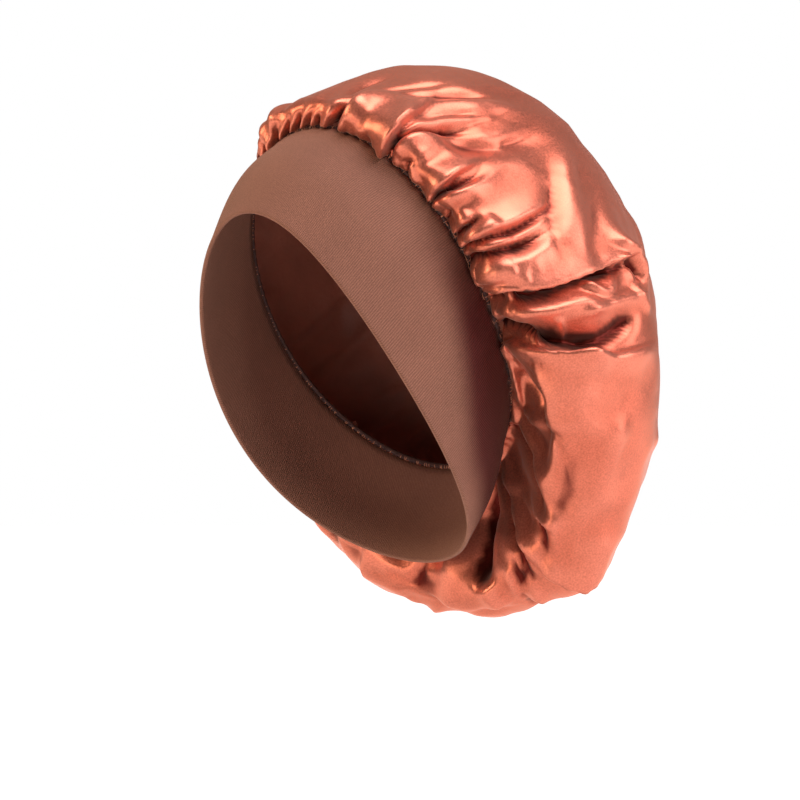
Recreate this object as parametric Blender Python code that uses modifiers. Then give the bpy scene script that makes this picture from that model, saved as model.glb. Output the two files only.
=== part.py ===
"""Sleep bonnet: a gathered satin bag sewn to a wide knitted band, in its worn form.

Metres, +Z up. The origin is the centre of the head that the bonnet fits, -Y is
the brow side and +X is the wearer's left. Turns are degrees round the opening:
0 at the crown of the band, 90 at the wearer's left, 180 at the nape.
"""

import bmesh
import bpy
import numpy as np

# Head that the seam goes round
HEAD_DEPTH = 0.190
HEAD_HEIGHT = 0.225
HEAD_WIDTH = 0.150

# Band and bag
BAND_WIDTH = 0.074
BAG_REACH = 0.205
BAG_HEIGHT = 0.285
BAG_WIDTH = 0.235

# Cloth, seam and the gap between neighbours
BAND_WALL = 0.0022
SATIN_WALL = 0.0012
SEAM_DIAMETER = 0.003
CLEARANCE = 0.0003

# Gathers and main folds
GATHER_HEIGHT = 0.004
FOLD_HEIGHT = 0.009
FOLD_WIDTH = 0.013

# Fineness of the cloth
BAG_COLUMNS = 144
BAG_ROWS = 16
BAG_ROW_CROWDING = 1.5
BAND_COLUMNS = 60
BAND_ROWS = 4
SEAM_SIDES = 2
RIDGE_STEPS = 10
SLOPE_STEP = 0.001

# The seam ring: its brow point, nape point, half width and bow, in shares of HEAD_DEPTH (back,
# bow), HEAD_HEIGHT (up) and HEAD_WIDTH (side).
SEAM_COLUMNS = ("brow_back", "brow_up", "nape_back", "nape_up", "side", "bow")
SEAM_RING = (-0.15, 0.452, 0.44, -0.317, 0.481, -0.045)

# Sections of the band from its front edge to the seam, and of the bag from the seam to its tip.
# closing: how far the section has left the seam ring. The lengths after it are added to what is
# left of the ring, in shares of BAND_WIDTH, or of BAG_REACH (back, bow), BAG_HEIGHT (up) and
# BAG_WIDTH (side). taper: how much wider the crown half is than the nape half.
SECTION_COLUMNS = (
    "along", "closing", "brow_back", "brow_up", "nape_back", "nape_up", "side", "bow", "taper",
)
BAND_SECTIONS = (
    (0.00, 0.00, -0.745, -0.605, -0.300, -0.670, -0.105, -0.115, -0.13),
    (0.50, 0.00, -0.435, -0.230, -0.075, -0.360, -0.025, -0.065, -0.08),
    (1.00, 0.00, 0.000, 0.000, 0.000, 0.000, 0.000, 0.000, -0.02),
)
BAG_SECTIONS = (
    (0.00, 0.00, 0.000, 0.000, 0.000, 0.000, 0.000, 0.000, -0.02),
    (0.03, 0.00, -0.015, 0.020, 0.035, -0.015, 0.030, 0.000, -0.04),
    (0.08, 0.00, -0.015, 0.045, 0.045, -0.085, 0.070, -0.005, -0.07),
    (0.18, 0.00, 0.130, 0.085, -0.010, -0.210, 0.125, 0.005, -0.10),
    (0.34, 0.10, 0.340, 0.165, 0.090, -0.300, 0.210, 0.030, -0.12),
    (0.52, 0.30, 0.570, 0.240, 0.285, -0.355, 0.275, 0.030, -0.12),
    (0.70, 0.55, 0.755, 0.245, 0.490, -0.340, 0.280, 0.020, -0.10),
    (0.86, 0.80, 0.860, 0.170, 0.680, -0.255, 0.235, 0.010, -0.06),
    (0.95, 0.93, 0.880, 0.065, 0.790, -0.130, 0.135, 0.005, 0.00),
    (1.00, 1.00, 0.860, -0.030, 0.860, -0.030, 0.000, 0.000, 0.00),
)

# Gathers: ridges round the seam, their height in shares of GATHER_HEIGHT, where along the bag
# they start, stand highest and end, and how many degrees their places wander.
GATHER_COLUMNS = ("count", "height", "start", "peak", "end", "wander")
GATHERS = (
    (36, 0.55, 0.00, 0.05, 0.22, 1.5),
    (13, 0.90, 0.02, 0.18, 0.60, 6.0),
    (7, 0.80, 0.10, 0.35, 0.80, 9.0),
)
# Gathers only stand out where they start, so that they stay off the band, and dip as much as
# they rise past the second place along the bag.
GATHER_DIP_PLACES = (0.08, 0.25)

# Main folds: ridges, or dents where the height is negative, from a start to an end, each a turn
# and a place along the bag, with the height and half width in shares of FOLD_HEIGHT and FOLD_WIDTH.
FOLD_COLUMNS = ("start_turn", "start_along", "end_turn", "end_along", "height", "width")
FOLDS = (
    (14, 0.03, 24, 0.22, 0.6, 0.8),
    (30, 0.04, 35, 0.38, 0.7, 0.8),
    (39, 0.10, 45, 0.42, -0.6, 0.7),
    (53, 0.03, 48, 0.22, 0.7, 0.9),
    (69, 0.03, 60, 0.34, 0.5, 0.8),
    (84, 0.04, 71, 0.62, 0.9, 0.9),
    (97, 0.05, 88, 0.40, -0.5, 0.8),
    (103, 0.03, 94, 0.52, 0.8, 0.8),
    (114, 0.03, 118, 0.12, -0.5, 0.7),
    (124, 0.03, 110, 0.20, 0.5, 0.7),
    (138, 0.03, 141, 0.18, -0.5, 0.7),
    (154, 0.09, 147, 0.50, 0.6, 0.8),
    (153, 0.34, 150, 0.46, 0.6, 2.0),
    (176, 0.05, 182, 0.40, 0.5, 0.8),
    (203, 0.06, 206, 0.42, 0.6, 0.8),
    (222, 0.04, 214, 0.46, -0.5, 0.8),
    (240, 0.03, 247, 0.48, 0.7, 0.8),
    (262, 0.04, 268, 0.52, -0.6, 0.7),
    (274, 0.03, 284, 0.50, 0.8, 0.8),
    (297, 0.03, 291, 0.36, 0.5, 0.8),
    (318, 0.03, 322, 0.34, 0.6, 0.8),
    (341, 0.03, 337, 0.28, 0.5, 0.8),
    (140, 0.78, 215, 0.74, -0.5, 1.6),
)

# Colour, roughness and metallic value of each cloth
FINISHES = {
    "satin": ((0.50, 0.17, 0.10, 1.0), 0.32, 0.0),
    "knit": ((0.19, 0.085, 0.060, 1.0), 0.85, 0.0),
    "thread": ((0.10, 0.035, 0.025, 1.0), 0.70, 0.0),
}

COLLECTION_NAME = "sleep_bonnet"


def clear_scene():
    for item in list(bpy.data.objects):
        bpy.data.objects.remove(item, do_unlink=True)


def make_material(name):
    colour, roughness, metallic = FINISHES[name]
    material = bpy.data.materials.new(name)
    material.use_nodes = True
    shader = material.node_tree.nodes["Principled BSDF"]
    shader.inputs["Base Color"].default_value = colour
    shader.inputs["Roughness"].default_value = roughness
    shader.inputs["Metallic"].default_value = metallic
    return material


def place(item, material, parent, collection):
    """Put an object in the collection, under the head's centre, with its material."""
    item.data.materials.append(material)
    item.parent = parent
    collection.objects.link(item)
    return item


def as_rows(columns, table):
    return [dict(zip(columns, row)) for row in table]


def smooth_step(value):
    value = np.clip(value, 0.0, 1.0)
    return value * value * (3.0 - 2.0 * value)


def section_sizes(row, back, up, side):
    """The brow point, nape point, half width and bow of one section, in metres."""
    ring = dict(zip(SEAM_COLUMNS, SEAM_RING))
    left = 1.0 - row["closing"]
    return (
        ring["brow_back"] * HEAD_DEPTH * left + row["brow_back"] * back,
        ring["brow_up"] * HEAD_HEIGHT * left + row["brow_up"] * up,
        ring["nape_back"] * HEAD_DEPTH * left + row["nape_back"] * back,
        ring["nape_up"] * HEAD_HEIGHT * left + row["nape_up"] * up,
        ring["side"] * HEAD_WIDTH * left + row["side"] * side,
        ring["bow"] * HEAD_DEPTH * left + row["bow"] * back,
        row["taper"],
    )


def band_sections():
    rows = as_rows(SECTION_COLUMNS, BAND_SECTIONS)
    places = np.array([row["along"] for row in rows])
    sizes = [section_sizes(row, BAND_WIDTH, BAND_WIDTH, BAND_WIDTH) for row in rows]
    return places, np.array(sizes)


def bag_sections():
    rows = as_rows(SECTION_COLUMNS, BAG_SECTIONS)
    places = np.array([row["along"] for row in rows])
    sizes = [section_sizes(row, BAG_REACH, BAG_HEIGHT, BAG_WIDTH) for row in rows]
    return places, np.array(sizes)


def between_sections(sections, along):
    """The section sizes at each place along the cloth, on a smooth curve through the table."""
    places, sizes = sections
    steps = np.diff(places)
    slopes = np.diff(sizes, axis=0) / steps[:, None]
    tangents = np.empty_like(sizes)
    tangents[0] = slopes[0]
    tangents[-1] = slopes[-1]
    before = steps[:-1, None]
    after = steps[1:, None]
    tangents[1:-1] = (slopes[:-1] * after + slopes[1:] * before) / (before + after)
    cell = np.clip(np.searchsorted(places, along, side="right") - 1, 0, len(steps) - 1)
    length = steps[cell][..., None]
    share = (along - places[cell])[..., None] / length
    square = share * share
    cube = square * share
    return (
        sizes[cell] * (2 * cube - 3 * square + 1)
        + tangents[cell] * length * (cube - 2 * square + share)
        + sizes[cell + 1] * (3 * square - 2 * cube)
        + tangents[cell + 1] * length * (cube - square)
    )


def cloth_point(sections, turn, along):
    """Points of the smooth cloth: each section is a bowed, tapered ring."""
    sizes = between_sections(sections, along)
    brow_back, brow_up, nape_back, nape_up, side, bow, taper = np.moveaxis(sizes, -1, 0)
    across = np.sin(np.radians(turn))
    upward = np.cos(np.radians(turn))
    half_back = (brow_back - nape_back) / 2
    half_up = (brow_up - nape_up) / 2
    tilt = np.arctan2(half_up, half_back)
    bulge = bow * across * across
    x = side * across * (1 + taper * upward)
    y = (brow_back + nape_back) / 2 + half_back * upward + bulge * np.sin(tilt)
    z = (brow_up + nape_up) / 2 + half_up * upward - bulge * np.cos(tilt)
    return np.stack([x, y, z], axis=-1)


def cloth_normal(sections, turn, along):
    """Unit vectors that point out of the smooth cloth."""
    low = np.clip(along - SLOPE_STEP, 0.0, 1.0)
    high = np.clip(along + SLOPE_STEP, 0.0, 1.0)
    around = cloth_point(sections, turn + 1.0, along) - cloth_point(sections, turn - 1.0, along)
    onward = cloth_point(sections, turn, high) - cloth_point(sections, turn, low)
    normal = np.cross(around, onward)
    return normal / np.linalg.norm(normal, axis=-1, keepdims=True)


def seam_share(sections, turn, seam_end, distance):
    """The share of the cloth's length that lies within a distance of the seam, at each turn."""
    at_seam = np.full_like(turn, seam_end)
    beside = np.full_like(turn, abs(seam_end - SLOPE_STEP))
    onward = cloth_point(sections, turn, beside) - cloth_point(sections, turn, at_seam)
    around = cloth_point(sections, turn + 1.0, at_seam) - cloth_point(sections, turn - 1.0, at_seam)
    around /= np.linalg.norm(around, axis=-1, keepdims=True)
    square_on = onward - np.sum(onward * around, axis=-1, keepdims=True) * around
    return distance * SLOPE_STEP / np.linalg.norm(square_on, axis=-1)


def gather_height(turn, along):
    """How far the gathers lift the cloth out of its smooth form."""
    lift = np.zeros_like(along)
    dip_start, dip_full = GATHER_DIP_PLACES
    dip = smooth_step((along - dip_start) / (dip_full - dip_start))
    for row in as_rows(GATHER_COLUMNS, GATHERS):
        shift = row["wander"] * np.sin(np.radians(3 * turn + 50 * row["height"]))
        wave = 0.5 + 0.5 * np.cos(np.radians(row["count"] * (turn + shift)))
        rise = smooth_step((along - row["start"]) / (row["peak"] - row["start"]))
        fall = smooth_step((row["end"] - along) / (row["end"] - row["peak"]))
        lift += GATHER_HEIGHT * row["height"] * (wave - 0.5 * dip) * rise * fall
    return lift


def ridge_distance(points, ridge):
    """Distance from each point to the nearest of the ridge's straight steps."""
    nearest = np.full(points.shape[:-1], np.inf)
    for start, end in zip(ridge, ridge[1:]):
        step = end - start
        share = np.clip((points - start) @ step / (step @ step), 0.0, 1.0)
        foot = start + share[..., None] * step
        nearest = np.minimum(nearest, np.linalg.norm(points - foot, axis=-1))
    return nearest


def fold_height(sections, points, along):
    """How far the main folds lift or dent the cloth, fading out at the seam."""
    lift = np.zeros_like(along)
    for row in as_rows(FOLD_COLUMNS, FOLDS):
        turns = np.linspace(row["start_turn"], row["end_turn"], RIDGE_STEPS)
        places = np.linspace(row["start_along"], row["end_along"], RIDGE_STEPS)
        distance = ridge_distance(points, cloth_point(sections, turns, places))
        lift += FOLD_HEIGHT * row["height"] * np.exp(-((distance / (FOLD_WIDTH * row["width"])) ** 2))
    fade_length = 0.08
    return lift * smooth_step(along / fade_length)


def ring_mesh(name, rows, tip=None):
    """A mesh of closed rows of points, closed at a tip if there is one."""
    shape = bmesh.new()
    rings = [[shape.verts.new(point) for point in row] for row in rows]
    for ring, following in zip(rings, rings[1:]):
        for i in range(len(ring)):
            j = (i + 1) % len(ring)
            shape.faces.new((ring[i], ring[j], following[j], following[i]))
    if tip is not None:
        centre = shape.verts.new(tip)
        last = rings[-1]
        for i in range(len(last)):
            shape.faces.new((last[i], last[(i + 1) % len(last)], centre))
    mesh = bpy.data.meshes.new(name)
    shape.to_mesh(mesh)
    shape.free()
    mesh.shade_smooth()
    return mesh


def add_wall(item, thickness):
    wall = item.modifiers.new("wall", "SOLIDIFY")
    wall.thickness = thickness
    wall.offset = 0.0


def make_band(material, parent, collection):
    """The knitted ring from its folded front edge to just short of the seam."""
    sections = band_sections()
    turn = np.arange(BAND_COLUMNS) * 360.0 / BAND_COLUMNS
    seat = seam_share(sections, turn, 1.0, SEAM_DIAMETER / 2 + CLEARANCE)
    rows = [cloth_point(sections, turn, (1.0 - seat) * i / BAND_ROWS) for i in range(BAND_ROWS + 1)]
    band = bpy.data.objects.new("band", ring_mesh("band", rows))
    add_wall(band, BAND_WALL)
    return place(band, material, parent, collection)


def make_seam(material, parent, collection):
    """The rolled seam, a round closed cord on the seam ring."""
    turn = np.arange(BAND_COLUMNS) * 360.0 / BAND_COLUMNS
    ring = cloth_point(bag_sections(), turn, np.zeros_like(turn))
    curve = bpy.data.curves.new("overlock_seam", "CURVE")
    curve.dimensions = "3D"
    curve.bevel_depth = SEAM_DIAMETER / 2
    curve.bevel_resolution = SEAM_SIDES
    spline = curve.splines.new("POLY")
    spline.points.add(len(ring) - 1)
    for point, place_on_ring in zip(spline.points, ring):
        point.co = (*place_on_ring, 1.0)
    spline.use_cyclic_u = True
    seam = bpy.data.objects.new("overlock_seam", curve)
    return place(seam, material, parent, collection)


def make_bag(material, parent, collection):
    """The satin shell from just past the seam to its tip, with its gathers and folds."""
    sections = bag_sections()
    turn = np.arange(BAG_COLUMNS) * 360.0 / BAG_COLUMNS
    seat = seam_share(sections, turn, 0.0, SEAM_DIAMETER / 2 + CLEARANCE)
    rows = []
    for i in range(BAG_ROWS):
        share = (i / BAG_ROWS) ** BAG_ROW_CROWDING
        along = seat + (1.0 - seat) * share
        points = cloth_point(sections, turn, along)
        lift = gather_height(turn, along) + fold_height(sections, points, along)
        rows.append(points + lift[:, None] * cloth_normal(sections, turn, along))
    tip = cloth_point(sections, np.zeros(1), np.ones(1))[0]
    bag = bpy.data.objects.new("crown_bag", ring_mesh("crown_bag", rows, tip))
    add_wall(bag, SATIN_WALL)
    return place(bag, material, parent, collection)


def main():
    clear_scene()
    collection = bpy.data.collections.new(COLLECTION_NAME)
    bpy.context.scene.collection.children.link(collection)
    head_centre = bpy.data.objects.new("head_centre", None)
    collection.objects.link(head_centre)
    make_band(make_material("knit"), head_centre, collection)
    make_seam(make_material("thread"), head_centre, collection)
    make_bag(make_material("satin"), head_centre, collection)
    bpy.context.view_layer.update()


main()
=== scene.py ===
import math

import bmesh
import bpy
import numpy as np
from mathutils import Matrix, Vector, kdtree, noise


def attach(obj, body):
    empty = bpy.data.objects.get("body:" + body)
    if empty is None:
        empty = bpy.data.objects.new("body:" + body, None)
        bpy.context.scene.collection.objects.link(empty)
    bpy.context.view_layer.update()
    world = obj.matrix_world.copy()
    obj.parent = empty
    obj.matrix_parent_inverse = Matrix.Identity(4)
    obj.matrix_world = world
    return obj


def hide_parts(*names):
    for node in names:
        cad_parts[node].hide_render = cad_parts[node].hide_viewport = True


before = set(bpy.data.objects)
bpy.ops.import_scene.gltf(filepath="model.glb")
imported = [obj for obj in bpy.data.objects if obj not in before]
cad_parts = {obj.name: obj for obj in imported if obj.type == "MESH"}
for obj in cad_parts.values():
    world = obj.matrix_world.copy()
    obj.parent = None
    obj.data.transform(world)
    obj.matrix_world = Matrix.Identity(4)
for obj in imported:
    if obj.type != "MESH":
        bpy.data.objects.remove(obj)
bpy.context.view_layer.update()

# Sleep bonnet: a gathered satin bag sewn to a wide knitted band. Metres, +Z up, the brow at -Y and
# the wearer's left at +X. A turn is degrees round the opening: 0 crown, 90 left, 180 nape.
# Along runs from 0 at the seam to 1 at the tip of the bag, and from 0 at the front edge of the
# band to 1 at the seam.

mm = 0.001
wavesPerMetre = 0.314                       # a wave texture's scale is this over its pitch

# the head that the seam goes round, and the seam's places in shares of it
headSizes = {
    "depth": 0.190,
    "height": 0.225,
    "width": 0.150,
    "ring": (-0.15, 0.452, 0.44, -0.317, 0.481, -0.045),  # brow back, up, nape back, up, side, bow
}


def smoothStep(value):
    value = np.clip(value, 0.0, 1.0)
    return value * value * (3.0 - 2.0 * value)


def readSections(rows, back, up, side):
    ring = headSizes["ring"]
    depth, height, width = headSizes["depth"], headSizes["height"], headSizes["width"]
    places = []
    sizes = []
    for along, closing, browBack, browUp, napeBack, napeUp, half, bow, taper in rows:
        left = 1.0 - closing  # what is left of the seam ring
        places.append(along)
        sizes.append((
            ring[0] * depth * left + browBack * back,
            ring[1] * height * left + browUp * up,
            ring[2] * depth * left + napeBack * back,
            ring[3] * height * left + napeUp * up,
            ring[4] * width * left + half * side,
            ring[5] * depth * left + bow * back,
            taper,
        ))
    return np.array(places), np.array(sizes)


def betweenSections(sections, along):
    places, sizes = sections
    steps = np.diff(places)
    slopes = np.diff(sizes, axis=0) / steps[:, None]
    tangents = np.empty_like(sizes)
    tangents[0] = slopes[0]
    tangents[-1] = slopes[-1]
    before = steps[:-1, None]
    after = steps[1:, None]
    tangents[1:-1] = (slopes[:-1] * after + slopes[1:] * before) / (before + after)
    cell = np.clip(np.searchsorted(places, along, side="right") - 1, 0, len(steps) - 1)
    length = steps[cell][..., None]
    share = (along - places[cell])[..., None] / length
    square = share * share
    cube = square * share
    return (
        sizes[cell] * (2 * cube - 3 * square + 1)
        + tangents[cell] * length * (cube - 2 * square + share)
        + sizes[cell + 1] * (3 * square - 2 * cube)
        + tangents[cell + 1] * length * (cube - square)
    )


def clothPoint(sections, turn, along):
    # each section is a bowed, tapered ring
    sizes = betweenSections(sections, along)
    browBack, browUp, napeBack, napeUp, side, bow, taper = np.moveaxis(sizes, -1, 0)
    across = np.sin(np.radians(turn))
    upward = np.cos(np.radians(turn))
    halfBack = (browBack - napeBack) / 2
    halfUp = (browUp - napeUp) / 2
    tilt = np.arctan2(halfUp, halfBack)
    bulge = bow * across * across
    x = side * across * (1 + taper * upward)
    y = (browBack + napeBack) / 2 + halfBack * upward + bulge * np.sin(tilt)
    z = (browUp + napeUp) / 2 + halfUp * upward - bulge * np.cos(tilt)
    return np.stack([x, y, z], axis=-1)


def unit(vectors):
    return vectors / np.maximum(np.linalg.norm(vectors, axis=-1, keepdims=True), 1e-9)


def clothNormal(sections, turn, along):
    step = 0.001
    around = clothPoint(sections, turn + 1.0, along) - clothPoint(sections, turn - 1.0, along)
    onward = (
        clothPoint(sections, turn, np.clip(along + step, 0, 1))
        - clothPoint(sections, turn, np.clip(along - step, 0, 1))
    )
    return unit(np.cross(around, onward))


def seamShare(sections, turn, seamEnd, distance):
    # the share of the cloth's length that lies within a distance of the seam
    step = 0.001
    atSeam = np.full_like(turn, seamEnd)
    beside = np.full_like(turn, abs(seamEnd - step))
    onward = clothPoint(sections, turn, beside) - clothPoint(sections, turn, atSeam)
    around = unit(clothPoint(sections, turn + 1.0, atSeam) - clothPoint(sections, turn - 1.0, atSeam))
    squareOn = onward - np.sum(onward * around, axis=-1, keepdims=True) * around
    return distance * step / np.linalg.norm(squareOn, axis=-1)


def eased(values, passes):
    # evens out a field on the grid, ring by ring and row by row
    for _ in range(passes):
        sideways = (np.roll(values, 1, axis=1) + np.roll(values, -1, axis=1)) / 2
        upDown = values.copy()
        upDown[1:-1] = (values[2:] + values[:-2]) / 2
        values = (2 * values + sideways + upDown) / 4
    return values


def wander(points, size, seed):
    # a smooth random field, one value for each point
    shift = Vector((seed * 3.7, seed * 1.3, seed * 2.1))
    flat = points.reshape(-1, 3)
    found = [noise.noise(Vector(point) / size + shift) for point in flat]
    return np.array(found).reshape(points.shape[:-1])


def unevenWaves(turn, count, sway, swayCount):
    # waves round the opening that crowd and spread
    return np.cos(np.radians(count * turn + sway * np.sin(np.radians(swayCount * turn))))


def ringMesh(name, grid, tip=None, closed=False):
    rows, columns = grid.shape[:2]
    here = np.arange(rows * columns).reshape(rows, columns)
    beside = np.roll(here, -1, axis=1)
    last = rows if closed else rows - 1
    above = np.roll(here, -1, axis=0)
    aboveBeside = np.roll(beside, -1, axis=0)
    faces = np.stack([here, beside, aboveBeside, above], axis=-1)[:last].reshape(-1, 4).tolist()
    vertices = grid.reshape(-1, 3).tolist()
    if tip is not None:
        vertices.append(tip)
        faces += [(a, b, len(vertices) - 1) for a, b in zip(here[-1].tolist(), beside[-1].tolist())]
    mesh = bpy.data.meshes.new(name)
    mesh.from_pydata(vertices, [], faces)
    mesh.shade_smooth()
    return mesh


def addPiece(name, mesh, materials):
    piece = bpy.data.objects.new(name, mesh)
    bpy.context.scene.collection.objects.link(piece)
    for material in materials:
        mesh.materials.append(material)
    return piece


def paintRings(mesh, name, values):
    # keeps a value at each point, for the materials
    field = mesh.attributes.new(name, "FLOAT", "POINT")
    full = np.zeros(len(mesh.vertices), np.float32)
    flat = np.asarray(values, np.float32).ravel()
    full[:len(flat)] = flat
    full[len(flat):] = flat[-1]
    field.data.foreach_set("value", full)


def layCloth(mesh, columns, rows, width, length, closedRows=False):
    # a UV map in metres: U round the opening, V from the seam
    layer = mesh.uv_layers.new(name="cloth")
    corners = np.empty(len(mesh.loops), np.int64)
    mesh.loops.foreach_get("vertex_index", corners)
    column = corners % columns
    row = corners // columns
    starts = np.empty(len(mesh.polygons), np.int64)
    totals = np.empty(len(mesh.polygons), np.int64)
    mesh.polygons.foreach_get("loop_start", starts)
    mesh.polygons.foreach_get("loop_total", totals)
    owner = np.repeat(np.arange(len(starts)), totals)
    first = column[starts][owner]
    wraps = (first == columns - 1) & (column == 0)
    firstRow = row[starts][owner]
    column = np.where(wraps, columns, column)
    if closedRows:
        row = np.where((firstRow == rows - 1) & (row == 0), rows, row)
    spread = np.stack([column / columns * width, row / rows * length], axis=-1)
    layer.data.foreach_set("uv", spread.astype(np.float32).ravel())


# Finishes

def startMaterial(name):
    material = bpy.data.materials.new(name)
    material.use_nodes = True
    tree = material.node_tree
    shader = tree.nodes["Principled BSDF"]
    return material, tree, shader


def addNode(tree, kind, **settings):
    node = tree.nodes.new(kind)
    for key, value in settings.items():
        setattr(node, key, value)
    return node


def mixColour(tree, share, first, second, blend="MIX"):
    node = addNode(tree, "ShaderNodeMix", data_type="RGBA", blend_type=blend)
    for socket, value in ((0, share), (6, first), (7, second)):
        if isinstance(value, bpy.types.NodeSocket):
            tree.links.new(value, node.inputs[socket])
        else:
            node.inputs[socket].default_value = value
    return node.outputs[2]


def reshape(tree, value, lowIn, highIn, lowOut, highOut):
    node = addNode(tree, "ShaderNodeMapRange")
    tree.links.new(value, node.inputs[0])
    for socket, number in enumerate((lowIn, highIn, lowOut, highOut), start=1):
        node.inputs[socket].default_value = number
    return node.outputs[0]


def addGrey(tree, value, low, high):
    ramp = addNode(tree, "ShaderNodeValToRGB")
    ramp.color_ramp.elements[0].position = low
    ramp.color_ramp.elements[1].position = high
    tree.links.new(value, ramp.inputs[0])
    return ramp.outputs[0]


def addBump(tree, height, strength, distance, under=None):
    bump = addNode(tree, "ShaderNodeBump")
    bump.inputs["Strength"].default_value = strength
    bump.inputs["Distance"].default_value = distance
    tree.links.new(height, bump.inputs["Height"])
    if under is not None:
        tree.links.new(under, bump.inputs["Normal"])
    return bump.outputs[0]


def setSurface(shader, values):
    for socket, value in values.items():
        shader.inputs[socket].default_value = value


def bands(tree, coordinates, pitch, distortion):
    # straight stripes a pitch apart
    node = addNode(tree, "ShaderNodeTexWave", wave_type="BANDS", bands_direction="X")
    tree.links.new(coordinates, node.inputs["Vector"])
    node.inputs["Scale"].default_value = wavesPerMetre / pitch
    node.inputs["Distortion"].default_value = distortion
    return node


def noiseField(tree, coordinates, scale, detail, rough=0.5):
    node = addNode(tree, "ShaderNodeTexNoise")
    tree.links.new(coordinates, node.inputs["Vector"])
    node.inputs["Scale"].default_value = scale
    node.inputs["Detail"].default_value = detail
    node.inputs["Roughness"].default_value = rough
    return node.outputs["Fac"]


satinLook = {
    "colour": (0.47, 0.115, 0.065, 1.0),
    "palePatchAndHighlight": (0.58, 0.168, 0.104, 1.0),    # pale patches, and a painted highlight where the cloth bulges
    "paintedFoldShade": (0.070, 0.004, 0.002, 1.0),     # painted shade down in the folds
    "roughness": (0.29, 0.41),              # lowest and highest
    "grain": 0.3,
    "threads": 0.00045,                     # weave pitch
    "noise": {"patches": 22.0, "grains": 1100.0, "crinkles": 160.0},
    "weaveBump": (0.03, 0.0001),            # strength and height
    "crinkleBump": (0.25, 0.0004),
    "surface": {
        "Metallic": 0.74,
        "Anisotropic": 0.50,
        "Sheen Weight": 0.22,
        "Sheen Roughness": 0.50,
        "Sheen Tint": (1.0, 0.55, 0.42, 1.0),
        "Specular IOR Level": 0.3,
        "Specular Tint": (1.0, 0.62, 0.50, 1.0),
    },
}


def satinMaterial(look):
    material, tree, shader = startMaterial("satin")
    scales = look["noise"]
    place = addNode(tree, "ShaderNodeTexCoord").outputs["Object"]
    depth = addNode(tree, "ShaderNodeAttribute", attribute_name="depth").outputs["Fac"]
    patch = noiseField(tree, place, scales["patches"], 3.0)
    grain = noiseField(tree, place, scales["grains"], 0.0)
    ground = mixColour(tree, reshape(tree, patch, 0.35, 0.65, 0.0, 0.5), look["colour"], look["palePatchAndHighlight"])
    # painted highlight on the bulges, from the depth attribute
    bulgeHighlighted = mixColour(tree, reshape(tree, depth, 0.0, -1.0, 0.0, 0.7), ground, look["palePatchAndHighlight"])
    # painted shade down in the folds, from the depth attribute
    foldShaded = mixColour(tree, reshape(tree, depth, 0.0, 1.0, 0.0, 1.0), bulgeHighlighted, look["paintedFoldShade"])
    speckled = mixColour(tree, look["grain"], foldShaded, addGrey(tree, grain, 0.0, 1.0), "OVERLAY")
    tree.links.new(speckled, shader.inputs["Base Color"])
    tree.links.new(reshape(tree, grain, 0.3, 0.7, *look["roughness"]), shader.inputs["Roughness"])
    setSurface(shader, look["surface"])
    tangent = addNode(tree, "ShaderNodeTangent", direction_type="UV_MAP", uv_map="cloth")
    tree.links.new(tangent.outputs[0], shader.inputs["Tangent"])
    cloth = addNode(tree, "ShaderNodeUVMap", uv_map="cloth").outputs[0]
    weave = bands(tree, cloth, look["threads"], 0.6).outputs["Fac"]
    fine = addBump(tree, weave, *look["weaveBump"])
    crinkle = noiseField(tree, place, scales["crinkles"], 4.0, 0.55)
    tree.links.new(addBump(tree, crinkle, *look["crinkleBump"], fine), shader.inputs["Normal"])
    return material


satinBackLook = {
    "colour": (0.34, 0.10, 0.06, 1.0),
    "darker": (0.238, 0.07, 0.042, 1.0),
    "noise": {"patches": 30.0, "crinkles": 220.0},
    "crinkleBump": (0.4, 0.0006),
    "surface": {
        "Roughness": 0.62,
        "Sheen Weight": 0.2,
        "Sheen Tint": (1.0, 0.55, 0.42, 1.0),
    },
}


def satinBackMaterial(look):
    # the dull inner side
    material, tree, shader = startMaterial("satin_back")
    scales = look["noise"]
    place = addNode(tree, "ShaderNodeTexCoord").outputs["Object"]
    patch = noiseField(tree, place, scales["patches"], 4.0)
    tone = mixColour(tree, reshape(tree, patch, 0.3, 0.7, 0.0, 1.0), look["colour"], look["darker"])
    tree.links.new(tone, shader.inputs["Base Color"])
    setSurface(shader, look["surface"])
    crinkle = noiseField(tree, place, scales["crinkles"], 4.0)
    tree.links.new(addBump(tree, crinkle, *look["crinkleBump"]), shader.inputs["Normal"])
    return material


knitLook = {
    "colour": (0.176, 0.073, 0.046, 1.0),
    "paler": 1.18,                          # the pale patches against the colour
    "shade": (0.050, 0.003, 0.002, 1.0),    # towards the nape and beside the seam
    "ribs": 0.22,
    "fuzz": 0.15,
    "wales": 0.0011,                        # pitch of the slanting ribs
    "slant": 5.0,
    "noise": {"patches": 35.0, "fuzz": 1400.0},
    "ribBump": (0.55, 0.0003),              # strength and height
    "fuzzBump": (0.25, 0.0002),
    "surface": {
        "Roughness": 0.78,
        "Specular IOR Level": 0.15,
        "Sheen Weight": 0.08,
        "Sheen Tint": (1.0, 0.62, 0.45, 1.0),
    },
}


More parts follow.
